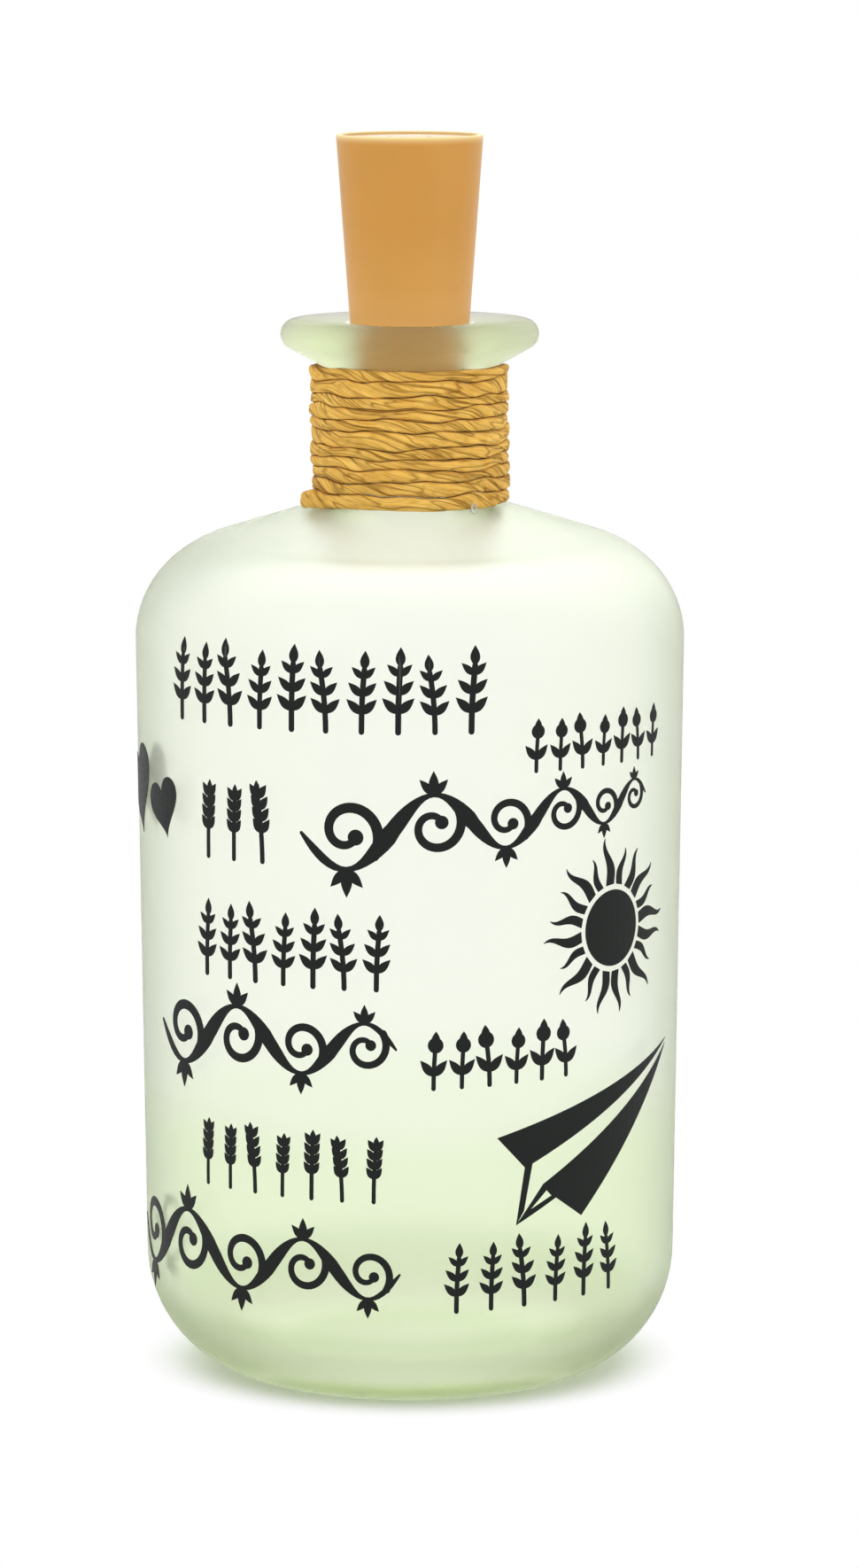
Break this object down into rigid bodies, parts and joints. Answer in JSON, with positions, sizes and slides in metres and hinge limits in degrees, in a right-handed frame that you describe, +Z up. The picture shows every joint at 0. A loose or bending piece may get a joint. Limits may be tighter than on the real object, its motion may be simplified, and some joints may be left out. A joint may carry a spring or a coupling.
{
  "type": "light-up bottle",
  "caption": "Frosted apothecary bottle with a cord-wound neck and a tapered lamp stopper whose pull-out module holds button cells, a push switch and downward lights.",
  "frame": {"origin": "middle of the bottle's foot, on the surface it stands on", "axes": "+Z up along the bottle's axis; -Y is the pictured front"},
  "size_m": [0.084, 0.084, 0.1908],
  "materials": {
    "frosted_glass": "sand-blasted, satin, pale green at the edges",
    "paper_cord": "twisted paper, matte, golden brown",
    "clear_glue": "clear hot glue",
    "cork_plastic": "moulded, matte, caramel, slightly translucent",
    "cap_plastic": "moulded, satin, caramel",
    "button_plastic": "moulded, satin",
    "switch_plastic": "moulded, black",
    "plunger_plastic": "moulded, cream",
    "board_laminate": "glass laminate with green solder mask",
    "resistor_ceramic": "black coated ceramic",
    "contact_nickel": "nickel plated sheet",
    "cell_steel": "nickel plated steel",
    "spring_steel": "nickel plated spring wire",
    "carrier_plastic": "moulded, off-white",
    "strip_brass": "plain brass strip",
    "light_epoxy": "clear epoxy over a yellow phosphor",
    "clear_acrylic": "polished clear acrylic"
  },
  "bodies": {
    "bottle": {"glass_bottle": "frosted_glass", "neck_cord": "paper_cord", "glue_drop": "clear_glue"},
    "stopper": {"stopper_shell": "cork_plastic"},
    "lamp_module": {"top_cap": "cap_plastic", "battery_carrier": "carrier_plastic", "switch_body": "switch_plastic", "switch_board": "board_laminate", "chip_resistor": "resistor_ceramic", "positive_contact": "contact_nickel", "button_cell_1": "cell_steel", "button_cell_2": "cell_steel", "button_cell_3": "cell_steel", "negative_spring": "spring_steel", "light_board": "board_laminate", "return_strip": "strip_brass", "light_1": "light_epoxy", "light_2": "light_epoxy", "light_3": "light_epoxy", "light_cup": "clear_acrylic"},
    "push_button": {"power_button": "button_plastic", "switch_plunger": "plunger_plastic"}
  },
  "joints": [
    {"name": "stopper_lift", "type": "slide", "parent": "bottle", "child": "stopper", "axis": [0, 0, 1], "range_m": [0, 0.035]},
    {"name": "module_pull", "type": "slide", "parent": "stopper", "child": "lamp_module", "axis": [0, 0, 1], "range_m": [0, 0.046]},
    {"name": "button_press", "type": "slide", "parent": "lamp_module", "child": "push_button", "axis": [0, 0, -1], "range_m": [0, 0.0008], "stiffness_N_per_m": 1500, "springref_m": -0.0003}
  ]
}
